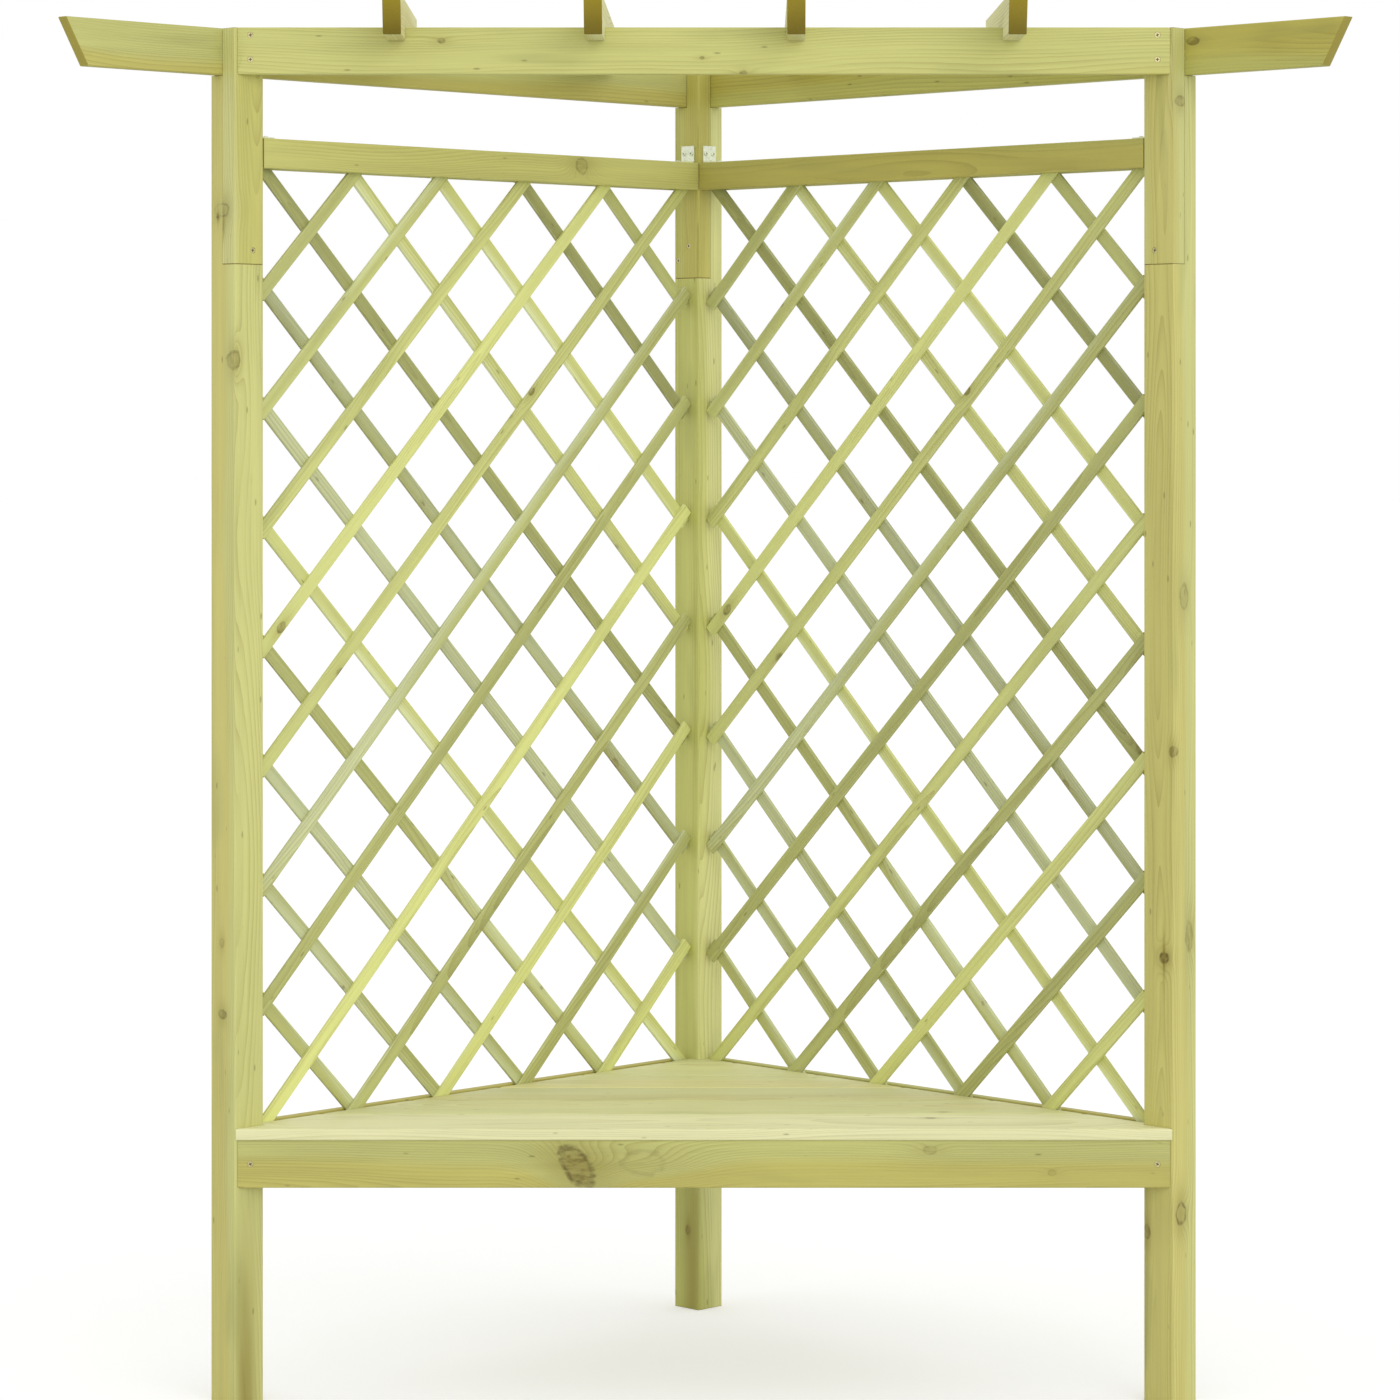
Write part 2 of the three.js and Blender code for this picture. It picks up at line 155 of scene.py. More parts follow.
class Net:
    """A node tree that is filled by one method."""

    def __init__(self, tree):
        self.tree = tree
        tree.nodes.clear()

    def add(self, kind, choices, sockets, output=0):
        node = self.tree.nodes.new(kind)
        for name, value in choices.items():
            setattr(node, name, value)
        pairs = sockets.items() if isinstance(sockets, dict) else enumerate(sockets)
        for key, value in pairs:
            if isinstance(value, Wire):
                self.tree.links.new(value.socket, node.inputs[key])
            else:
                node.inputs[key].default_value = value
        return Wire(self, node.outputs[output]) if len(node.outputs) else node

    def vector_math(self, operation, *values):
        return self.add("ShaderNodeVectorMath", {"operation": operation}, values)

    def vector(self, x, y, z):
        return self.add("ShaderNodeCombineXYZ", {}, [x, y, z])

    def attribute(self, name):
        return self.add("ShaderNodeAttribute", {"attribute_name": name}, {}, "Vector")

    def named(self, name, kind="FLOAT_VECTOR"):
        return self.add("GeometryNodeInputNamedAttribute", {"data_type": kind}, [name])

    def noise(self, place, scale, detail=2.0, output="Fac"):
        scaled = self.vector_math("MULTIPLY", place, scale)
        sockets = {"Vector": scaled, "Scale": 1.0, "Detail": detail}
        return self.add("ShaderNodeTexNoise", {}, sockets, output)

    def cells(self, place, output="Color", scale=1.0):
        return self.add("ShaderNodeTexVoronoi", {}, {"Vector": place, "Scale": scale}, output)

    def step(self, value, low, high):
        """0 below low, 1 above high and a smooth curve between. Low may be the larger one."""
        choices = {"interpolation_type": "SMOOTHSTEP"}
        return self.add("ShaderNodeMapRange", choices, [value, low, high, 0.0, 1.0])

    def blend(self, first, second, share, how="MIX"):
        choices = {"data_type": "RGBA", "blend_type": how, "clamp_factor": True}
        return self.add("ShaderNodeMix", choices, {0: share, 6: first, 7: second}, 2)

    def shade(self, colour, brightness):
        return self.add("ShaderNodeVectorMath", {"operation": "SCALE"}, {0: colour, 3: brightness})


def paint(red, green, blue):
    """A colour as it is seen, 0 to 255, turned into the light it sends back by the sRGB curve."""
    seen = [value / 255 for value in (red, green, blue)]
    light = [v / 12.92 if v <= 0.04045 else ((v + 0.055) / 1.055) ** 2.4 for v in seen]
    return (*light, 1.0)


def new_material(name):
    material = bpy.data.materials.new(name)
    material.use_nodes = True
    return material, Net(material.node_tree)


def finish_material(net, surface):
    net.add("ShaderNodeOutputMaterial", {}, {"Surface": surface})


print("node helpers ready")

# %% [markdown]
# ## Where things are on a board
# Grain runs along a board, so its material has to know which way the board runs. Each board
# carries three attributes: `board`, the place in metres along, across and through it, `cut`, which
# marks end grain and worn arrises and gives the board's own tone, and `log`, which says where in
# the tree the board was sawn. The knots that can be told apart in the photograph are found by
# sending a line of sight to the board.

# %% List the knots that the photograph shows
# Each one: pixel, half width across the grain in millimetres, stretch along the grain, lean, depth
# of colour, and how much of that colour its middle has. A middle of 0 makes a dark mark, not a knot.
SEEN_KNOTS = {
    "seat_apron": [
        ((577, 1166), 29, 0.72, 0.4, 1.1, 0.9),
        ((643, 1163), 17, 1.8, 0, 0.3, 0.2),
        ((930, 1150), 6, 1.6, 0, 0.45, 0.6),
        ((1052, 1173), 4, 1.5, 0, 0.35, 0.6),
    ],
    "top_rail_inner_left": [((582, 166), 12, 1.0, 0, 0.7, 0.5)],
    "post_front_left_lower": [
        ((235, 360), 8.5, 1.5, 0, 0.8, 0.6),
        ((222, 943), 5, 1.4, 0, 0.6, 0.7),
        ((246, 1396), 13, 6.5, 0, 1.5, 0),
        ((221, 210), 13, 0.72, 0, 0.5, 0.1),
        ((218, 217), 3.5, 0.7, 0, 1.0, 1.7),
    ],
    "post_front_left_upper": [
        ((223, 210), 13, 0.72, 0, 1.0, 0.1),
        ((223, 228), 3, 2.4, 0, 1.2, 0),
    ],
    "post_front_right_lower": [
        ((1184, 597), 9, 2.0, 0, 0.7, 0.3),
        ((1181, 1214), 10.8, 1.4, 0, 1.2, 0.1),
        ((1164, 958), 8.5, 0.9, 0, 1.0, 1.7),
        ((1147, 1232), 6, 1.8, 0, 0.8, 1.1),
        ((1189, 936), 8, 2.6, 0, 0.6, 0.8),
    ],
    "post_back_lower": [
        ((688, 1230), 5, 1.4, 0, 0.7, 1.0),
        # Painted shade: a long dark band down the foot's left face, under the seat, darker towards the
        # floor
        ((692, 1286), 12, 6.5, 0, 1.3, 0),
    ],
    "seat_board_2": [((943, 1112), 4, 1.5, 0, 0.7, 1.0)],
    "side_beam_right": [
        ((1193, 41), 6, 1.8, 0, 0.9, 0.9),
        ((1272, 38), 14, 0.9, 0, 0.45, 0),
        ((1326, 27), 12, 1.0, 0, 0.35, 0),
    ],
}


# Cosines of the angles between directions
MOSTLY_ALONG = 0.9
NEARLY_SQUARE = 0.1
PARALLEL = 0.99
OUTER_SIDE = (2, 1, 3)


class Board:
    """The directions and the middle of a board, taken from its mesh."""

    def __init__(self, solid):
        longest = max(solid.edges, key=lambda edge: edge.calc_length())
        self.along = (longest.verts[1].co - longest.verts[0].co).normalized()
        if self.along.x + self.along.z < 0 or self.along.y < -MOSTLY_ALONG:
            self.along.negate()
        side_faces = [f for f in solid.faces if abs(f.normal.dot(self.along)) < NEARLY_SQUARE]
        widest = max(side_faces, key=lambda face: face.calc_area())
        self.through = widest.normal.copy()
        if self.through.dot(OUTER_SIDE) < 0:
            self.through.negate()
        self.through = (self.through - self.along * self.through.dot(self.along)).normalized()
        self.across = self.through.cross(self.along)
        self.turn = Matrix((self.along, self.across, self.through))
        places = np.array([self.turn @ v.co for v in solid.verts])
        self.middle = Vector((places.min(0) + places.max(0)) / 2)
        self.half = Vector((places.max(0) - places.min(0)) / 2)
        self.planed_middle = self.middle
        self.planed_half = self.half

    def share_section(self, axis, side):
        """Says that the board was halved from a square timber round this upright axis."""
        self.planed_middle = self.turn @ axis
        self.planed_half = Vector((side, side, side)) / 2

    def place(self, point):
        return self.turn @ point - self.middle

    def at_arris(self, point, reach):
        """Whether a point lies at a corner of the planed section."""
        offset = self.turn @ point - self.planed_middle
        return all(self.planed_half[i] - abs(offset[i]) < reach for i in (1, 2))


def seen_knots(name, board):
    """The knots of SEEN_KNOTS on this board, as places along and across the face that they are on."""
    found = []
    for pixel, millimetres, *shape in SEEN_KNOTS.get(name, []):
        hit, point, normal, _ = nodes[name].ray_cast(EYE, sight_line(pixel))
        if not hit:
            print("no board at pixel", pixel)
            continue
        place = board.place(point)
        on_wide_face = abs(normal.dot(board.through)) > abs(normal.dot(board.across))
        found.append((place, on_wide_face, millimetres / 1000, *shape))
    return found


print("knots listed:", sum(len(knots) for knots in SEEN_KNOTS.values()))

# %% [markdown]
# ## Treated softwood
# A board is a slice of a tree, so its grain is the tree's rings, cut. The material works out how far
# each point is from the heart of the tree: the rings then show as long lines or tall arches on the
# faces and as arcs on the ends, and they meet at the arrises by themselves. Near a knot the
# distance gets a bump, and the rings part round it. Heartwood takes the green treatment less than
# sapwood does and stays ochre, so the colour depends on the same distance.

# %% Make the timber material
# Each noise: its scale in cells per metre along, across and through the board, and its detail
NOISES = {
    "ragged": ((70, 110, 110), 2),
    "sway": ((1.6, 2.0, 2.0), 1),
    "ripple": ((9, 60, 60), 2),
    "late": ((2.5, 30, 30), 1),
    "heart": ((1.1, 6, 6), 1),
    "fibre": ((14, 520, 520), 3),
    "streak": ((1.8, 75, 75), 2),
    "cloud": ((2.2, 9, 9), 3),
    "stain": ((3.4, 22, 22), 2),
    "swirl": ((70, 150, 150), 3),
    "scuff": ((30, 140, 140), 3),
}
# The values of a noise between which its patches fade in
PATCHES = {"late": (0.25, 0.6), "stain": (0.6, 0.74), "swirl": (0.36, 0.64), "scuff": (0.38, 0.62)}
UNEVEN_RINGS = (55, 1, 1)
SPECKS = (14, 45, 45)
LOG_SHIFT = (7.3, 2.1, 3.7)
# Lengths in metres
RING_WIDTH = 0.0034
HEARTWOOD_EDGE = (0.062, 0.045)
HEARTWOOD_STRAY = 0.03
SWAY = 0.05
RIPPLE = 0.0016
CELL_SIDE = 0.05
SAW_PITCH = 0.0042
RELIEF = 0.0003
# Shapes of the knots.
KNOT_TAPER = 0.45
DARK_MARK_TAPER = 2.5
HALO = (2.6, 1.5)
CHECK = (5.5, 0.28)
KNOT_EDGE = (1.05, 0.8)
RIM_MIDDLE = 0.95
RIM_EDGE = (0.26, 0.04)
CHANCE_STRETCH = 1.4
CHANCE_CHECK = 0.2
LEAST_DRAW = 0.55
KNOT_DRAWS = (0.58, 0.62)


def knot_marks(net, place, radius, stretch, check, ragged, taper=KNOT_TAPER):
    """Bump of the rings, dark halo with a check along the grain, knot and its rim, for a knot at the
    origin. The place is along the board, across the face that the knot is on, and into the board,
    where it thins out."""
    along, across, inward = place
    sunk = (inward * taper) ** 2
    far = ((along / stretch) ** 2 + across**2 + sunk) ** 0.5 / radius + ragged
    area = radius * radius

    def fading(longer, wider):
        spot = ((along / (stretch * longer)) ** 2 + (across / wider) ** 2 + sunk) / area * -1
        return spot.math("EXPONENT", spot)

    halo = fading(*HALO)
    from_rim = far - RIM_MIDDLE
    rim = net.step(from_rim.math("ABSOLUTE", from_rim), *RIM_EDGE)
    dark = halo * 0.7 + fading(*CHECK) * check
    return halo * radius, dark, net.step(far, *KNOT_EDGE), rim


def timber(name, look, knots=()):
    """Planed, pressure-treated softwood. The look gives its colours and how strong its marks are."""
    material, net = new_material(name)
    board = net.attribute("board")
    log = net.attribute("log")
    end, worn, tone = net.attribute("cut").parts()
    along, across, through = board.parts()
    log_start, heart_across, heart_through = log.parts()
    shift = net.vector(*(log_start * share for share in LOG_SHIFT))
    tree = net.vector_math("ADD", board, shift)
    totals = [0.0] * 4

    def noise(kind, output="Fac"):
        return net.noise(tree, *NOISES[kind], output)

    def patches(kind):
        return net.step(noise(kind), *PATCHES[kind])

    def gather(marks, shares):
        """Adds a knot's marks to the totals, each times its share."""
        for i, share in enumerate(shares):
            if share:
                totals[i] = marks[i] * share + totals[i]

    ragged = (noise("ragged") - 0.5) * 0.7
    for seen, on_wide_face, radius, stretch, lean, depth, fill in knots:
        aside, inward = across - seen.y, through - seen.z
        if not on_wide_face:
            aside, inward = inward, aside
        place = (along - seen.x - aside * lean, aside, inward)
        taper = KNOT_TAPER if fill else DARK_MARK_TAPER
        marks = knot_marks(net, place, radius, stretch, max(fill - 0.8, 0.0), ragged, taper)
        gather(marks, (1.0, depth, depth * fill, depth) if fill else (0.0, depth, 0.0, 0.0))
    cell_size = (look["knot_every"], CELL_SIDE, CELL_SIDE)
    cell = net.vector_math("DIVIDE", tree, cell_size)
    chance = net.cells(cell)
    offset = net.vector_math("SUBTRACT", cell, chance.output("Position"))
    offset = net.vector_math("MULTIPLY", offset, cell_size)
    draw, _, _ = chance.parts()
    over = draw - LEAST_DRAW
    size = over.math("MAXIMUM", over, 0.02) * look["knot_size"] / (1 - LEAST_DRAW)
    marks = knot_marks(net, offset.parts(), size, CHANCE_STRETCH, CHANCE_CHECK, ragged)
    gather(marks, [net.step(draw, *KNOT_DRAWS) * look["knot_depth"]] * 4)
    spread, mark, core, rim = totals

    _, sway_across, sway_through = noise("sway", "Color").parts()
    from_heart_a = across - heart_across + (sway_across - 0.5) * SWAY
    from_heart_t = through - heart_through + (sway_through - 0.5) * SWAY
    distance = (from_heart_a**2 + from_heart_t**2) ** 0.5
    distance = distance + (noise("ripple") - 0.5) * RIPPLE + spread * 1.5
    uneven = net.noise(net.vector(distance, log_start, 0.0), UNEVEN_RINGS, 1)
    ring = distance / RING_WIDTH + uneven * 4
    late = ring.math("FRACT", ring) ** 2.5
    late = late * patches("late")
    heartwood = net.step(distance + (noise("heart") - 0.5) * HEARTWOOD_STRAY, *HEARTWOOD_EDGE)

    fibre = noise("fibre") - 0.5
    streak = noise("streak") - 0.5
    cloud = noise("cloud") - 0.5
    stain = patches("stain")

    colour = net.blend(look["sap"], look["heart"], heartwood * look["heart_share"])
    colour = net.blend(colour, look["late"], late * look["ring_depth"])
    colour = net.blend(colour, look["stain"], stain * look["stain_depth"])
    brightness = 1 + fibre * 0.16 + streak * look["streak"] + cloud * 0.26 + tone
    colour = net.shade(colour, brightness)
    colour = net.blend(colour, look["halo"], mark * 0.75)
    swirl = patches("swirl")
    colour = net.blend(colour, look["knot"], core * (0.25 + swirl * 0.6))
    colour = net.blend(colour, look["rim"], rim * (0.25 + swirl * 0.3))
    speck = net.cells(net.vector_math("MULTIPLY", tree, SPECKS), "Distance")
    colour = net.blend(colour, look["rim"], net.step(speck, 0.10, 0.03) * 0.45)
    end_look = net.blend(look["end"], look["late"], late * look["ring_depth"])
    # Painted shade: the end colour gets darker towards one edge across the board, on the rafters towards
    # the bottom
    end_look = net.shade(end_look, 1 + cloud * 0.5 + across * look["end_fade"])
    # End grain takes the end colour, and so do the bevels along sawn edges, as painted seam shade
    colour = net.blend(colour, end_look, end * 0.97)
    scuff = patches("scuff")
    colour = net.blend(colour, look["worn"], worn * scuff * 0.55)

    rough = 0.56 + late * 0.10 + fibre * 0.25 - core * 0.12 + end * 0.2 + worn * 0.05
    height = fibre * 0.9 - late * 0.8 + streak * 0.4 - rim * 0.9 + ragged * core
    if look["saw_marks"] > 0:
        saw = (along / SAW_PITCH + ragged) * math.tau
        height = height + saw.math("SINE", saw) * look["saw_marks"]
    bump = net.add("ShaderNodeBump", {}, {"Strength": 0.7, "Distance": RELIEF, "Height": height})
    sockets = {"Base Color": colour, "Roughness": rough, "Normal": bump}
    sockets["Specular IOR Level"] = look["shine"]
    finish_material(net, net.add("ShaderNodeBsdfPrincipled", {}, sockets))
    return material


def look(sap, heart, **changes):
    """A timber's colours and marks: the two given colours and what else differs from the usual."""
    usual = {
        "sap": paint(*sap),
        "heart": paint(*heart),
        "late": paint(150, 138, 70),
        "stain": paint(158, 160, 92),
        "halo": paint(150, 136, 56),
        "knot": paint(116, 102, 36),
        "rim": paint(88, 76, 24),
        "end": paint(150, 130, 64),
        "worn": paint(216, 214, 168),
        "heart_share": 0.85,
        "ring_depth": 0.42,
        "stain_depth": 0.30,
        "streak": 0.22,
        "knot_every": 0.42,
        "knot_size": 0.007,
        "knot_depth": 0.8,
        "saw_marks": 0.0,
        "end_fade": 0.0,
        "shine": 0.4,
    }
    return usual | changes


SEAT_MARKS = dict(stain_depth=0.2, ring_depth=0.26, streak=0.14, end=paint(196, 190, 126))
LOOKS = {
    "post_timber": look((206, 206, 132), (207, 199, 116)),
    "beam_timber": look((199, 199, 122), (197, 188, 99), end=paint(170, 158, 67)),
    "rail_timber": look((192, 190, 104), (191, 180, 90), saw_marks=0.1),
    # The rafters' ends carry painted shade, darker towards the bottom
    "rafter_timber": look(
        (224, 222, 166), (214, 207, 140), end=paint(142, 124, 26), end_fade=12, shine=0.15
    ),
    "lath_timber": look(
        (222, 228, 174), (196, 199, 118), knot_every=0.30, knot_size=0.008, saw_marks=0.1, streak=0.38
    ),
    "seat_timber": look((219, 219, 158), (218, 212, 148), knot_depth=0.35, **SEAT_MARKS),
}
# Boards whose colour stands out from that of their kind, three of them as painted shade
SEEN_LOOKS = {
    "post_front_left_upper": look((212, 212, 140), (194, 190, 106)),
    # Painted shade: a darker, more saturated heart, which SEEN_HEARTS puts on the post's shaded left face
    "post_back_lower": look((212, 212, 141), (190, 192, 104)),
    # Painted shade: a more saturated sap colour for this shaded length of the corner post
    "post_back_upper": look((206, 205, 116), (207, 199, 104)),
    # Painted shade: a more saturated sap colour for the shade on this beam
    "side_beam_right": look((201, 199, 108), (199, 188, 86), end=paint(164, 152, 66)),
    "seat_board_1": look((224, 222, 172), (224, 218, 160), **SEAT_MARKS),
    "top_rail_inner_left": look((193, 191, 112), (192, 182, 98), saw_marks=0.1),
}
timbers = {slot: timber(slot, colours) for slot, colours in LOOKS.items()}
print("timber materials:", ", ".join(timbers))

# %% [markdown]
# ## Boards with rounded arrises
# Planed timber has its long edges, the arrises, eased so that it doesn't splinter, while sawn ends
# and notches stay almost sharp. Each CAD board is copied and its doubled points are merged. Then
# its edges are sorted: an edge that runs along the board at a corner of its planed section is an
# arris and gets the full bevel, and other outer edges get a fine one. The two lengths of a post
# share the section of the whole post, so the seam between them isn't an arris. A Bevel modifier
# does the work, because it can be told the width edge by edge and marks its new faces.

# %% Turn the CAD boards into timber
WELD = 0.00001
POST_SIDE = 0.054
FLAT_ANGLE = math.radians(0.5)
SHARP_ANGLE = math.radians(28)
FINE_EDGE = 0.0013
SHORTEST_EDGE = 0.009
CORNER_REACH = 0.0015
END_GRAIN = 0.5
# Share of the end colour on the fine bevel of a sawn edge: painted shade of the seam between parts
SAWN_EDGE_SHADE = 1.0
BEVEL_STEPS = 3
CHANCE_TONE = 0.03
LOG_STARTS = (1, 9)
NEAREST_HEART = 0.005
FARTHEST_HEART = 0.06
ARRIS = {
    "post_timber": 0.0030,
    "beam_timber": 0.0018,
    "rail_timber": 0.0018,
    "rafter_timber": 0.0018,
    "seat_timber": 0.0030,
}
draws = random.Random(20)
BEVEL_LAYER = "bevel_weight_edge"

# How much lighter or darker than its kind each board looks in the photograph
SEEN_TONES = {
    "front_beam": 0.11,
    "post_front_left_upper": 0.06,
    "seat_apron": -0.02,
    "side_beam_right": -0.08,
    "top_rail_inner_left": 0.17,
    "top_rail_inner_right": -0.03,
    "post_front_left_lower": 0.06,
    "post_front_right_lower": 0.03,
    "post_back_upper": -0.06,
    "post_back_lower": 0.10,
    "seat_board_1": 0.16,
    "seat_board_2": 0.03,
    "seat_board_3": -0.02,
    "seat_board_4": 0.08,
    "seat_board_5": 0.06,
}
# The side on which the tree's heart lies, as an offset from the board's middle in metres
SEEN_HEARTS = {
    "post_front_left_lower": (-0.05, 0.01, 0),
    "post_front_left_upper": (0.035, -0.025, 0),
    "post_front_right_lower": (-0.03, -0.03, 0),
    "post_front_right_upper": (-0.04, -0.05, 0),
    # Painted shade: the heart lies to the left, so its darker colour falls on the corner post's shaded
    # left face
    "post_back_lower": (-0.04, -0.005, 0),
    "front_beam": (0, 0.05, -0.06),
    "seat_board_1": (0, 0, -0.2),
}


def bevel_shares(solid, board, arris):
    """Gives each outer edge its share of the bevel: all of it at an arris, a little elsewhere."""
    layer = solid.edges.layers.float.new(BEVEL_LAYER)
    for edge in solid.edges:
        if not edge.is_manifold or edge.calc_length() < SHORTEST_EDGE:
            continue
        if edge.calc_face_angle_signed() < SHARP_ANGLE:
            continue
        line = (edge.verts[1].co - edge.verts[0].co).normalized()
        middle = (edge.verts[0].co + edge.verts[1].co) / 2
        is_arris = abs(line.dot(board.along)) > PARALLEL and board.at_arris(middle, CORNER_REACH)
        edge[layer] = 1.0 if is_arris else FINE_EDGE / arris


def store(mesh, name, domain, values):
    layer = mesh.attributes.new(name, "FLOAT_VECTOR", domain)
    layer.data.foreach_set("vector", np.array(values, dtype=np.float32).ravel())


def mark_board(mesh, board, name, arris):
    """Writes the three attributes that the timber material reads. The bevel's faces are worn at an arris,
    and along a sawn edge they take as much colour as end grain does, as painted shade of the seam between
    parts."""
    tone = SEEN_TONES.get(name, CHANCE_TONE * draws.uniform(-1, 1))
    start = draws.uniform(*LOG_STARTS)
    heart_across = draws.uniform(-FARTHEST_HEART, FARTHEST_HEART)
    heart = (heart_across, -board.half.z - draws.uniform(NEAREST_HEART, FARTHEST_HEART))
    if name in SEEN_HEARTS:
        heart = (board.turn @ Vector(SEEN_HEARTS[name])).yz
    store(mesh, "board", "POINT", [board.place(v.co) for v in mesh.vertices])
    cuts = []
    for face in mesh.polygons:
        if face.material_index:
            is_arris = board.at_arris(face.center, arris)
            # A sawn edge's bevel takes the end colour as painted shade of the seam
            cuts.append((0.0, 1.0, tone) if is_arris else (SAWN_EDGE_SHADE, 0.0, tone))
        else:
            cuts.append((float(abs(face.normal.dot(board.along)) > END_GRAIN), 0.0, tone))
    store(mesh, "cut", "FACE", cuts)
    store(mesh, "log", "FACE", [(start, *heart)] * len(mesh.polygons))
    mesh.polygons.foreach_set("material_index", [0] * len(mesh.polygons))


def evaluated_copy(piece):
    """The piece's mesh with its modifiers carried out."""
    bpy.context.view_layer.update()
    graph = bpy.context.evaluated_depsgraph_get()
    mesh = bpy.data.meshes.new_from_object(piece.evaluated_get(graph))
    piece.modifiers.clear()
    return mesh


def weld(mesh):
    """Merges the points that the bevel leaves on one spot, and with them its collapsed faces."""
    shape = bmesh.new()
    shape.from_mesh(mesh)
    bmesh.ops.remove_doubles(shape, verts=shape.verts, dist=WELD)
    shape.to_mesh(mesh)
    shape.free()


def wooden_piece(name, slot):
    solid = bmesh.new()
    solid.from_mesh(nodes[name].data)
    bmesh.ops.remove_doubles(solid, verts=solid.verts, dist=WELD)
    bmesh.ops.dissolve_limit(
        solid, angle_limit=FLAT_ANGLE, verts=solid.verts, edges=solid.edges, use_dissolve_boundaries=False
    )
    board = Board(solid)
    if slot == "post_timber":
        low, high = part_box(name.replace("_upper", "_lower"))
        board.share_section((low + high) / 2, POST_SIDE)
    arris = ARRIS[slot]
    bevel_shares(solid, board, arris)
    mesh = bpy.data.meshes.new(name + "_timber")
    solid.to_mesh(mesh)
    solid.free()
    piece = add_object(name + "_timber", mesh)
    knots = seen_knots(name, board)
    wood = timbers[slot]
    if knots or name in SEEN_LOOKS:
        wood = timber(f"{slot}_{name}", SEEN_LOOKS.get(name, LOOKS[slot]), knots)
    mesh.materials.append(wood)
    mesh.materials.append(wood)
    bevel = piece.modifiers.new("arrises", "BEVEL")
    bevel.limit_method = "WEIGHT"
    bevel.width = arris
    bevel.segments = BEVEL_STEPS
    bevel.material = 1
    bevel.use_clamp_overlap = False
    piece.data = evaluated_copy(piece)
    weld(piece.data)
    piece.data.materials.clear()
    piece.data.materials.append(wood)
    mark_board(piece.data, board, name, arris)
    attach(piece, "root")
    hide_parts(name)
    return piece


boards = [wooden_piece(name, slot) for name, slot in slots.items() if slot in ARRIS]
print("boards:", len(boards), "faces:", sum(len(board.data.polygons) for board in boards))

# %% [markdown]
# ## The laths of the trellis
# The laths of a wall lie in two layers, one rising and one falling, at an even pitch. Beside the
# posts they are cut square, and behind the rails they are sawn level. That is a rule, so Geometry
# Nodes follow it: one lath blank is placed once for each number, and each of its points slides
# along the lath's line until it meets a limit. The limits are sums of the lath's number, so each
# end comes out with the right cut. Chance gives each lath its own stretch of the log and tone, and the
# falling layer behind is painted darker as shade.

# %% Make a lath blank
LATH_WIDTH = 0.020
LATH_THICKNESS = 0.006
LATH_ARRIS = 0.0009
LATH_PARTS = 6


def lath_blank():
    """A lath one unit long. Its corners are eased, and its ends are marked as end grain."""
    half_width, half_depth = LATH_WIDTH / 2, LATH_THICKNESS / 2
    flat_w, flat_d = half_width - LATH_ARRIS, half_depth - LATH_ARRIS
    quarter = [(half_width, flat_d), (flat_w, half_depth)]
    section = quarter + [(-y, z) for y, z in reversed(quarter)]
    section += [(-y, -z) for y, z in section]
    count = len(section)
    points = [(i / LATH_PARTS, y, z) for i in range(LATH_PARTS + 1) for y, z in section]
    faces = []
    cuts = []
    for i in range(LATH_PARTS):
        for j in range(count):
            a, b = i * count + j, i * count + (j + 1) % count
            faces.append((b, b + count, a + count, a))
            cuts.append((0.0, float(j % 2 == 0), 0.0))
    last = LATH_PARTS * count
    faces.append(tuple(reversed(range(count))))
    faces.append(tuple(range(last, last + count)))
    cuts += [(1.0, 0.0, 0.0)] * 2
    mesh = new_mesh("lath_blank", points, faces)
    store(mesh, "cut", "FACE", cuts)
    return add_object("lath_blank", mesh)


blank = lath_blank()
print("lath blank:", len(blank.data.polygons), "faces")

# %% Measure the trellis
LATH_COLUMNS = 5
LATH_ROWS = 8
LATH_COUNT = 12
LATH_INSET = 0.019
FIRST_CROSSING = 2.5
WALL_GAP = 0.894
FIT = 0.0003
LATH_TONES = 0.27
# Painted shade: the falling layer, behind the rising one, is darker and the rising layer lighter
LAYER_SHADE = 0.06
LIGHT_LATH = 4.0
NO_LATH = -1.0
LIGHT_LATH_TONE = 0.16
RISING_SEED = 3
FALLING_SEED = 8
# The limits of a lath's log: its start, and the tree's heart across and through the lath
LOWEST_LOG = (1.0, -0.05, -0.05)
HIGHEST_LOG = (60.0, 0.05, 0.05)
# Depth of each layer's inner face behind the wall's own inner face
RISING_FACE = 0.0163
FALLING_FACE = 0.0221

panel_low, panel_high = (corner.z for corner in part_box("trellis_left"))
seat_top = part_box("seat_board_1")[1].z
rail_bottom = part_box("top_rail_inner_left")[0].z
rise = (rail_bottom - seat_top) / LATH_ROWS
run = (WALL_GAP - 2 * LATH_INSET) / LATH_COLUMNS
slope = math.atan2(rise, run)
first_lath = -(LATH_COUNT - LATH_ROWS)
print("lath pitch:", round(rise * 1000, 1), "mm up,", round(run * 1000, 1), "mm across")

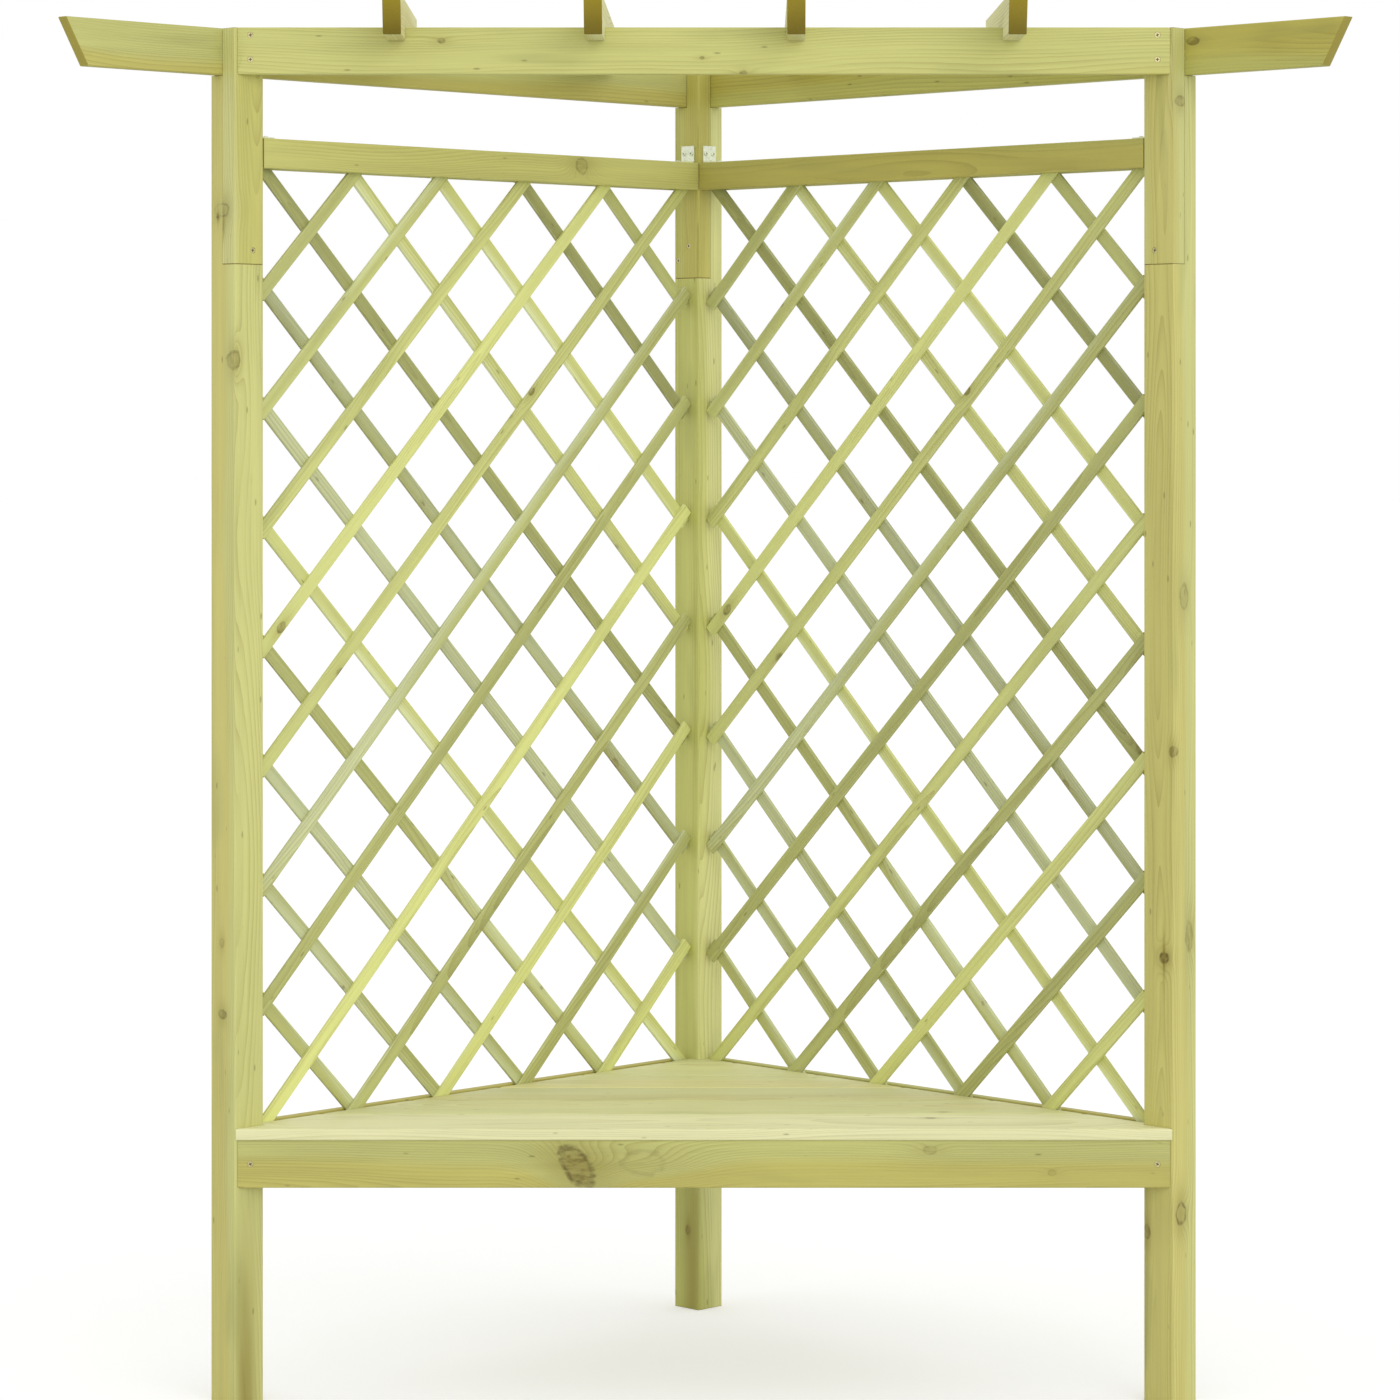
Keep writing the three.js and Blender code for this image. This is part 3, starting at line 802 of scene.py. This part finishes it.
# %% Build the lath tree
def lath_layer(net, sizes, blank_shape, rising):
    """One layer of laths. Each point of the blank slides along the lath's line to the panel's edge."""
    line = net.add("GeometryNodeMeshLine", {}, {"Count": sizes["laths"], "Offset": (0, 0, 0)})
    placed = net.add("GeometryNodeInstanceOnPoints", {}, {"Points": line, "Instance": blank_shape})
    number = net.add("GeometryNodeInputIndex", {}, {})
    choices = {"data_type": "FLOAT", "domain": "INSTANCE"}
    placed = net.add("GeometryNodeStoreNamedAttribute", choices, [placed, True, "number", number])
    laths = net.add("GeometryNodeRealizeInstances", {}, [placed])
    lath = net.named("number", "FLOAT")
    share, off, deep = net.add("GeometryNodeInputPosition", {}, {}).parts()

    sign = 1 if rising else -1
    middle = sizes["wall length"] * 0.5
    height = sizes["first rising" if rising else "first falling"] + lath * sizes["rise"] * sign
    sine, cosine = math.sin(slope), math.cos(slope)
    square_end = (middle - sizes["margin"] - sizes["lath width"] * (sine / 2)) / cosine
    centre = height + off * cosine
    edges = ("low edge", "high edge") if rising else ("high edge", "low edge")
    first, last = ((sizes[edge] - centre) / (sine * sign) for edge in edges)
    low = first.math("MAXIMUM", first, square_end * -1)
    high = last.math("MINIMUM", last, square_end)
    slide = low + share * (high - low)

    seed = RISING_SEED if rising else FALLING_SEED
    ends = {0: LOWEST_LOG, 1: HIGHEST_LOG, "ID": lath, "Seed": seed}
    log = net.add("FunctionNodeRandomValue", {"data_type": "FLOAT_VECTOR"}, ends)
    tones = {2: -LATH_TONES, 3: LATH_TONES, "ID": lath, "Seed": seed + 1}
    tone = net.add("FunctionNodeRandomValue", {"data_type": "FLOAT"}, tones, 1)
    # Painted shade: the falling layer behind is darker, the rising layer in front lighter
    tone = tone + sizes["layer tone"] * sign
    if rising:
        other = lath - sizes["light lath"]
        tone = tone + net.step(other.math("ABSOLUTE", other), 0.6, 0.4) * LIGHT_LATH_TONE
    cut = net.vector_math("ADD", net.named("cut"), net.vector(0.0, 0.0, tone))
    spot = net.vector(slide, off, deep)
    for name, domain, value in (("board", "POINT", spot), ("log", "FACE", log), ("cut", "FACE", cut)):
        choices = {"data_type": "FLOAT_VECTOR", "domain": domain}
        laths = net.add("GeometryNodeStoreNamedAttribute", choices, [laths, True, name, value])
    place = net.vector(
        middle + slide * cosine - off * (sign * sine),
        sizes["rising depth" if rising else "falling depth"] - deep,
        height + slide * (sign * sine) + off * cosine,
    )
    return net.add("GeometryNodeSetPosition", {}, {"Geometry": laths, "Position": place})


LATH_SIZES = {
    "laths": LATH_COUNT,
    "lath width": LATH_WIDTH,
    "wall length": WALL_GAP,
    "margin": FIT,
    "low edge": panel_low,
    "high edge": panel_high,
    "rise": rise,
    "first rising": seat_top + rise * (first_lath + FIRST_CROSSING),
    "first falling": seat_top + rise * (LATH_ROWS - first_lath - FIRST_CROSSING),
    "rising depth": RISING_FACE + LATH_THICKNESS / 2,
    "falling depth": FALLING_FACE + LATH_THICKNESS / 2,
    "layer tone": LAYER_SHADE,
    "light lath": NO_LATH,
    "turn": 0.0,
    "corner": (0.0, 0.0, 0.0),
}
SOCKET_KINDS = {int: "NodeSocketInt", float: "NodeSocketFloat", tuple: "NodeSocketVector"}


def rule_tree(name, sizes):
    """An empty Geometry Nodes tree with one named input for each size."""
    tree = bpy.data.node_groups.new(name, "GeometryNodeTree")
    for way in ("INPUT", "OUTPUT"):
        tree.interface.new_socket("Geometry", in_out=way, socket_type="NodeSocketGeometry")
    for label, value in sizes.items():
        kind = SOCKET_KINDS[type(value)]
        socket = tree.interface.new_socket(label, in_out="INPUT", socket_type=kind)
        socket.default_value = value
    net = Net(tree)
    given = net.add("NodeGroupInput", {}, {})
    return tree, net, {label: given.output(label) for label in ("Geometry", *sizes)}


def close_tree(net, shape, material):
    shape = net.add("GeometryNodeRealizeInstances", {}, [shape])
    shape = net.add("GeometryNodeSetMaterial", {}, {"Geometry": shape, "Material": material})
    net.add("NodeGroupOutput", {}, [shape])


lath_tree, net, sizes = rule_tree("trellis laths", LATH_SIZES)
shape = net.add("GeometryNodeObjectInfo", {}, {"Object": blank}, "Geometry")
join = lath_tree.nodes.new("GeometryNodeJoinGeometry")
for rising in (True, False):
    layer = lath_layer(net, sizes, shape, rising)
    lath_tree.links.new(layer.socket, join.inputs[0])
turn = net.vector(0.0, 0.0, sizes["turn"])
sockets = {"Geometry": Wire(net, join.outputs[0]), "Translation": sizes["corner"], "Rotation": turn}
close_tree(net, net.add("GeometryNodeTransform", {}, sockets), timbers["lath_timber"])
print("lath tree:", len(lath_tree.nodes), "nodes")

# %% [markdown]
# ## Two walls from one rule
# The same panel stands on both sides. A modifier runs the tree with the left or the right wall's
# corner and turn, and the result is kept as a plain mesh, because an exported model can't hold
# live instances.

# %% Put the trellis in both walls
wall_leg = WALL_GAP + POST_SIDE
half_front = wall_leg / math.sqrt(2)
front_line = -half_front - POST_SIDE / math.sqrt(2)
EIGHTH_TURN = math.radians(45)
# Each wall: the start of its inner face, its turn, how far along it the panel starts, its light lath
WALLS = {
    "left": (Vector((-half_front, front_line, 0)), EIGHTH_TURN, POST_SIDE, LIGHT_LATH),
    "right": (Vector((0, front_line + half_front, 0)), -EIGHTH_TURN, 0.0, NO_LATH),
}


def along_wall(side, along, out, height):
    """A point in a wall's own terms: along its inner face, outwards from it, and up."""
    start, turn, _, _ = WALLS[side]
    return start + Matrix.Rotation(turn, 3, "Z") @ Vector((along, out, height))


def run_tree(tree, mesh, values):
    """Runs a tree on this mesh with these inputs and returns its result as a plain object."""
    name = mesh.name
    piece = add_object(name, mesh)
    modifier = piece.modifiers.new("rule", "NODES")
    modifier.node_group = tree
    for item in tree.interface.items_tree:
        if item.in_out == "INPUT" and item.name in values:
            modifier[item.identifier] = values[item.name]
    piece.data = evaluated_copy(piece)
    piece.data.name = name
    return piece


for side, (_, turn, panel_start, light_lath) in WALLS.items():
    corner = along_wall(side, panel_start, 0, 0)
    values = {"turn": turn, "corner": corner, "light lath": light_lath}
    laths = run_tree(lath_tree, bpy.data.meshes.new(f"laths_{side}"), values)
    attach(laths, "root")
    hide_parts(f"trellis_{side}")
    low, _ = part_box(f"trellis_{side}")
    points = np.array([v.co for v in laths.data.vertices])
    print(side, "laths off the panel's box by", np.abs(points.min(0) - low).max().round(4), "m")
bpy.data.objects.remove(blank)

# %% [markdown]
# ## Zinc
# The brackets and their screws are galvanised, and the other screws and the nails are plated
# yellow. Both are metals whose colour changes from one crystal patch to the next, with fine
# scratches and stained patches, and they are darker in the recesses.

# %% Make the metals
CLOUDS = (110, 110, 110)
SCRATCHES = (900, 2600, 1300)


def metal(name, colour, dirt, patch_size, roughness):
    material, net = new_material(name)
    place = net.add("ShaderNodeTexCoord", {}, {}, "Object")
    patch, _, _ = net.cells(place, scale=1 / patch_size).parts()
    cloud = net.noise(place, CLOUDS, 3) - 0.5
    fine = net.noise(place, SCRATCHES, 2)
    scratch = net.step(fine, 0.62, 0.70)
    recess, _, _ = net.attribute("dirt").parts()
    stained = net.step(cloud, 0.08, 0.22) * 0.35
    brightness = 0.9 + patch * 0.16 + cloud * 0.35 + scratch * 0.1
    tint = net.shade(colour[:3], brightness)
    # The recesses of the screw heads are darker
    tint = net.blend(tint, dirt, recess * 0.75)
    tint = net.blend(tint, dirt, stained)
    rough = roughness + patch * 0.14 + cloud * 0.2 + recess * 0.2 - scratch * 0.1
    height = patch * 0.3 + fine * 0.5
    bump = net.add("ShaderNodeBump", {}, {"Strength": 0.25, "Distance": 0.0002, "Height": height})
    sockets = {"Base Color": tint, "Metallic": 0.85, "Roughness": rough, "Normal": bump}
    finish_material(net, net.add("ShaderNodeBsdfPrincipled", {}, sockets))
    return material


galvanised = metal("bracket_steel", paint(236, 241, 216), paint(150, 156, 132), 0.004, 0.36)
plated = metal("screw_steel", paint(214, 204, 152), paint(92, 80, 40), 0.002, 0.34)
brackets = [name for name, slot in slots.items() if slot == "bracket_steel"]
for name in brackets:
    nodes[name].data.materials.clear()
    nodes[name].data.materials.append(galvanised)
print("galvanised brackets:", len(brackets))

# %% [markdown]
# ## Screws and nails
# Every fixing is turned from a few rings, each a radius and a height, and a screw gets a cross sunk
# into its head. One blank serves all screws of a kind: its last two rings slide along the shank
# until the screw has its own length. The places of the structural screws are read from the CAD
# screws, whose points lie evenly round their axis, so their mean lies on it.

# %% Turn the blanks
SCREW_SIDES = 24
NAIL_SIDES = 8
CROSS_LEAD = math.radians(22.5)
CROSS_POINTS = 12
CROSS_TAPER = 0.6
HEAD_RADIUS = 0.00425
HEAD_HEIGHT = 0.003
SHANK_RADIUS = 0.00225
THIN_SHANK = 0.0018
SHANK_END = 0.020
BLANK_LENGTH = 0.026
SPIN_SEED = 5
TIP_RADIUS = 0.0002
SHANK = [(SHANK_RADIUS, -SHANK_END), (TIP_RADIUS, -BLANK_LENGTH)]
THIN = [(THIN_SHANK, 0.0), (THIN_SHANK, -SHANK_END), (TIP_RADIUS, -BLANK_LENGTH)]
RINGS = {
    "countersunk": [(0.00405, 0.0), (HEAD_RADIUS, -0.0002), (SHANK_RADIUS, -HEAD_HEIGHT), *SHANK],
    "round": [(0.0026, 0.0019), (0.0036, 0.0012), (0.0040, 0.0), *THIN],
    "nail": [(0.0009, 0.0006), (0.0017, 0.0003), (0.0017, -0.0002)],
}
CROSS = {"countersunk": (0.0024, 0.0006, 0.0016), "round": (0.0019, 0.0005, 0.0013)}


def turned(rings, sides):
    """Points and faces of rings round Z, from the head down, closed at the bottom."""
    points = []
    faces = []
    for radius, height in rings:
        for i in range(sides):
            angle = math.tau * i / sides - CROSS_LEAD
            points.append((radius * math.cos(angle), radius * math.sin(angle), height))
    for k in range(len(rings) - 1):
        for i in range(sides):
            a, b = k * sides + i, k * sides + (i + 1) % sides
            faces.append((a, a + sides, b + sides, b))
    last = (len(rings) - 1) * sides
    faces.append(tuple(reversed(range(last, last + sides))))
    return points, faces


def sink_cross(points, faces, reach, half_width, depth):
    """Closes the first ring with a face that has a cross sunk into it. Returns the cross's faces."""
    start = len(points)
    top = points[0][2]
    for share, height in ((1.0, top), (CROSS_TAPER, top - depth)):
        for quarter in range(4):
            for x, y in ((reach, -half_width), (reach, half_width), (half_width, half_width)):
                spot = Matrix.Rotation(math.radians(90 * quarter), 2) @ Vector((x, y))
                points.append((spot.x * share, spot.y * share, height))
    walls = []
    for j in range(CROSS_POINTS):
        k = (j + 1) % CROSS_POINTS
        faces.append((2 * j, 2 * j + 1, 2 * k, start + k, start + j))
        walls.append((start + j, start + k, start + CROSS_POINTS + k, start + CROSS_POINTS + j))
    floor = tuple(range(start + CROSS_POINTS, start + 2 * CROSS_POINTS))
    return walls + [floor]


def fixing_blank(kind):
    rings = RINGS[kind]
    points, faces = turned(rings, SCREW_SIDES if kind in CROSS else NAIL_SIDES)
    if kind in CROSS:
        sunk = sink_cross(points, faces, *CROSS[kind])
    else:
        sunk = []
        faces.append(tuple(range(NAIL_SIDES)))
    mesh = new_mesh(f"{kind}_blank", points, faces + sunk)
    slides = [(float(point[2] <= -SHANK_END),) * 3 for point in points]
    store(mesh, "slides", "POINT", slides)
    store(mesh, "dirt", "FACE", [(0.0, 0.0, 0.0)] * len(faces) + [(1.0, 0.0, 0.0)] * len(sunk))
    return add_object(mesh.name, mesh)


blanks = {kind: fixing_blank(kind) for kind in RINGS}
print("blanks:", {kind: len(blank.data.polygons) for kind, blank in blanks.items()})


# %% Build one tree for each kind
# Each kind's metal and the record's slot for it
FINISHES = {
    "countersunk": (plated, "screw_steel"),
    "round": (galvanised, "bracket_steel"),
    "nail": (plated, "screw_steel"),
}


def fixing_tree(kind, blank):
    """A blank stands on every point, along the point's axis and turned at random."""
    tree, net, given = rule_tree(f"{kind} fixings", {"seed": SPIN_SEED})
    turn = net.add("FunctionNodeAlignRotationToVector", {"axis": "Z"}, {"Vector": net.named("axis")})
    ends = {2: 0.0, 3: math.tau, "Seed": given["seed"]}
    angle = net.add("FunctionNodeRandomValue", {"data_type": "FLOAT"}, ends, 1)
    spin = net.add("FunctionNodeEulerToRotation", {}, [net.vector(0.0, 0.0, angle)])
    turn = net.add("FunctionNodeRotateRotation", {"rotation_space": "LOCAL"}, [turn, spin])
    shape = net.add("GeometryNodeObjectInfo", {}, {"Object": blank}, "Geometry")
    sockets = {"Points": given["Geometry"], "Instance": shape, "Rotation": turn}
    placed = net.add("GeometryNodeInstanceOnPoints", {}, sockets)
    made = net.add("GeometryNodeRealizeInstances", {}, [placed])
    offset = net.vector_math("MULTIPLY", net.named("slides"), net.named("growth"))
    made = net.add("GeometryNodeSetPosition", {}, {0: made, "Offset": offset})
    close_tree(net, made, FINISHES[kind][0])
    return tree


def fixings(name, kind, spots):
    """One piece with a fixing at each spot: the place of its head, its axis outwards, its length."""
    mesh = new_mesh(name, [place for place, _, _ in spots])
    store(mesh, "axis", "POINT", [axis for _, axis, _ in spots])
    store(mesh, "growth", "POINT", [axis * (BLANK_LENGTH - length) for _, axis, length in spots])
    piece = run_tree(fixing_trees[kind], mesh, {})
    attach(piece, "root")
    print(name, len(spots), "fixings,", len(piece.data.polygons), "faces")
    return piece


fixing_trees = {kind: fixing_tree(kind, blank) for kind, blank in blanks.items()}


# %% Put a screw where each CAD screw is
def cad_screw(name):
    """Place of the head, axis and length of a CAD screw. Its tip is the point farthest out."""
    places = {tuple(round(c, 6) for c in v.co) for v in nodes[name].data.vertices}
    points = [Vector(place) for place in places]
    middle = sum(points, Vector()) / len(points)
    tip = max(points, key=lambda point: (point - middle).length)
    axis = (middle - tip).normalized()
    length = max((point - tip).dot(axis) for point in points)
    return tip + axis * length, axis, length


screw_names = [name for name, slot in slots.items() if slot == "screw_steel"]
screws = fixings("screws", "countersunk", [cad_screw(name) for name in screw_names])
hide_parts(*screw_names)

# %% [markdown]
# ## Small fixings
# The CAD model leaves out the screws in the brackets' holes, those that hold the outer rails, and
# the nails at the laths' crossings. They follow from where the rails, brackets and laths are. A
# rising and a falling lath meet where their heights agree, which gives the crossings as a sum of
# the two laths' numbers.

# %% Find the places of the small fixings
PANEL_MIDDLE = 0.0222
RAIL_OUTSIDE = 0.0444
LATH_OUTSIDE = 0.0281
APRON_BACK = 0.022
BEARER_HALF = 0.0215
HOLE_ALONG = 0.015
HALF_PITCH = 0.008
BRACKET_THICKNESS = 0.002
SHORT_SCREW = 0.014
RAIL_SCREW = 0.036
RAIL_SCREW_SHARES = (0.06, 0.5, 0.94)
PROUD = 0.0002
NAIL_STRAY = 0.0015
CLEAR_OF_RAIL = 0.005
UP = Vector((0, 0, 1))


def bracket_spots(corner, first_leg, second_leg, sideways):
    """Four screws of a bracket whose two legs leave its corner in these directions."""
    spots = []
    for leg, outward in ((first_leg, second_leg), (second_leg, first_leg)):
        for shift in (-HALF_PITCH, HALF_PITCH):
            place = corner + leg * HOLE_ALONG + outward * BRACKET_THICKNESS + sideways * shift
            spots.append((place, outward, SHORT_SCREW))
    return spots


short_spots = []
rail_spots = []
nail_spots = []
for side, (start, _, panel_start, _) in WALLS.items():
    along = along_wall(side, 1, 0, 0) - start
    out = along_wall(side, 0, 1, 0) - start
    rail_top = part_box(f"top_rail_inner_{side}")[1].z
    carrier_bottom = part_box(f"bottom_rail_inner_{side}")[0].z
    for x, leg in ((panel_start + FIT, along), (panel_start + WALL_GAP - FIT, -along)):
        for height, upright in ((rail_top, UP), (carrier_bottom, -UP)):
            corner = along_wall(side, x, PANEL_MIDDLE, height)
            short_spots += bracket_spots(corner, leg, upright, out)
    for rail in ("top", "bottom"):
        low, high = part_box(f"{rail}_rail_outer_{side}")
        for share in RAIL_SCREW_SHARES:
            x = panel_start + WALL_GAP * share
            place = along_wall(side, x, RAIL_OUTSIDE + PROUD, (low.z + high.z) / 2)
            rail_spots.append((place, out, RAIL_SCREW))
    for rising_number in range(first_lath, LATH_ROWS):
        for falling_number in range(first_lath, LATH_ROWS):
            column = (LATH_ROWS - rising_number - falling_number) / 2
            height = seat_top + rise * (rising_number + column)
            if not 0 <= column <= LATH_COLUMNS:
                continue
            if not seat_top + CLEAR_OF_RAIL < height < rail_bottom - CLEAR_OF_RAIL:
                continue
            x = panel_start + LATH_INSET + run * column + draws.uniform(-NAIL_STRAY, NAIL_STRAY)
            height += draws.uniform(-NAIL_STRAY, NAIL_STRAY)
            nail_spots.append((along_wall(side, x, LATH_OUTSIDE, height), out, BLANK_LENGTH))

bearer_low, bearer_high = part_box("seat_bearer")
corner = Vector((BEARER_HALF, front_line + APRON_BACK, (bearer_low.z + bearer_high.z) / 2))
short_spots += bracket_spots(corner, Vector((1, 0, 0)), Vector((0, 1, 0)), UP)

fixings("bracket_screws", "round", short_spots)
fixings("rail_screws", "countersunk", rail_spots)
fixings("lath_nails", "nail", nail_spots)
for blank in blanks.values():
    bpy.data.objects.remove(blank)

# %% [markdown]
# ## Floor, light and background
# The photograph is a cut-out on white. A white world and a white floor give that, and the floor
# keeps a soft shadow under the seat. What the camera sees of them is set apart from the light that
# they give, so white doesn't have to mean overexposed. One large soft lamp stands low at the
# front right: it makes the left wall's inner face brighter than the right one's, and it reaches
# the corner post's foot under the seat.

# %% Light the scene
SKY = 0.86
SUN = 0.92
SUN_DIRECTION = Vector((0.50, -0.82, 0.15))
SUN_SPREAD = math.radians(50)
FLOOR_HALF = 60.0
FLOOR_GREY = 0.76
FLOOR_LIFT = 0.36

world = bpy.data.worlds.new("studio")
scene.world = world
world.use_nodes = True
net = Net(world.node_tree)
path = net.add("ShaderNodeLightPath", {}, {})
seen = path + path.output("Is Glossy Ray") + path.output("Is Transmission Ray")
strength = SKY + (1 - SKY) * seen.math("MINIMUM", seen, 1.0)
background = net.add("ShaderNodeBackground", {}, {"Color": (1, 1, 1, 1), "Strength": strength})
net.add("ShaderNodeOutputWorld", {}, {"Surface": background})

sun = add_object("key_light", bpy.data.lights.new("key_light", "SUN"))
sun.data.energy = SUN
sun.data.angle = SUN_SPREAD
sun.rotation_euler = SUN_DIRECTION.to_track_quat("Z", "Y").to_euler()

corners = [(x * FLOOR_HALF, y * FLOOR_HALF, 0.0) for x, y in ((-1, -1), (1, -1), (1, 1), (-1, 1))]
floor = add_object("floor", new_mesh("floor", corners, [(0, 1, 2, 3)]))
floor_paint, net = new_material("floor_paint")
matt = net.add("ShaderNodeBsdfDiffuse", {}, {"Color": (FLOOR_GREY, FLOOR_GREY, FLOOR_GREY, 1)})
path = net.add("ShaderNodeLightPath", {}, {})
lift = net.add("ShaderNodeEmission", {}, {"Color": (1, 1, 1, 1), "Strength": FLOOR_LIFT})
both = net.add("ShaderNodeAddShader", {}, [matt, lift])
finish_material(net, net.add("ShaderNodeMixShader", {}, [path, matt, both]))
floor.data.materials.append(floor_paint)

scene.view_settings.view_transform = "Standard"
print("light set")
